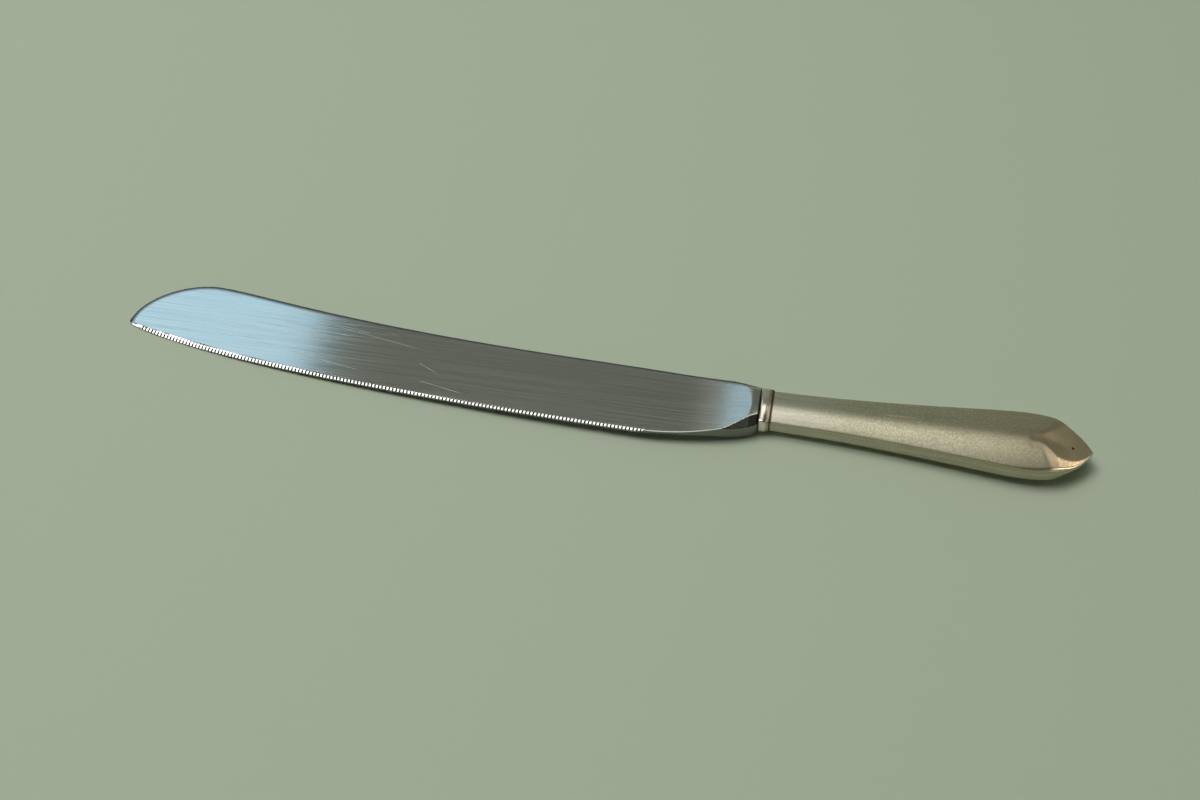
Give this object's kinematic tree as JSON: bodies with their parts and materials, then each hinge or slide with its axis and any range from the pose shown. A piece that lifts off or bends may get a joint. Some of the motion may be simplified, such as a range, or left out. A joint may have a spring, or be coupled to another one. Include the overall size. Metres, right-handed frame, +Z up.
{
  "type": "cake knife",
  "caption": "Hollow-handle cake knife: broad upswept blade with a fine fluted edge and rounded tip, a bolster, a bead collar and a waisted silver handle that ends in a point.",
  "frame": {"origin": "centre of the knife's footprint, on the surface that it lies on", "axes": "+X along the knife toward the handle's point, +Y toward the back of the blade, +Z up from the surface that it lies on"},
  "size_m": [0.318, 0.0346, 0.0117],
  "materials": {
    "blade_steel": "brushed along its length, with fine scratches",
    "upper_shell_silver": "worn satin silver with polished high points and brown tarnish in the corners",
    "lower_shell_silver": "worn satin silver with polished high points and brown tarnish in the corners",
    "seam_solder": "silver solder dressed flush",
    "collar_silver": "rubbed bright on top, tarnished at its joints",
    "cement": "dull cast filling"
  },
  "bodies": {
    "root": {"blade": "blade_steel", "upper_handle_shell": "upper_shell_silver", "lower_handle_shell": "lower_shell_silver", "seam_solder": "seam_solder", "collar": "collar_silver", "cement_core": "cement"}
  },
  "joints": []
}
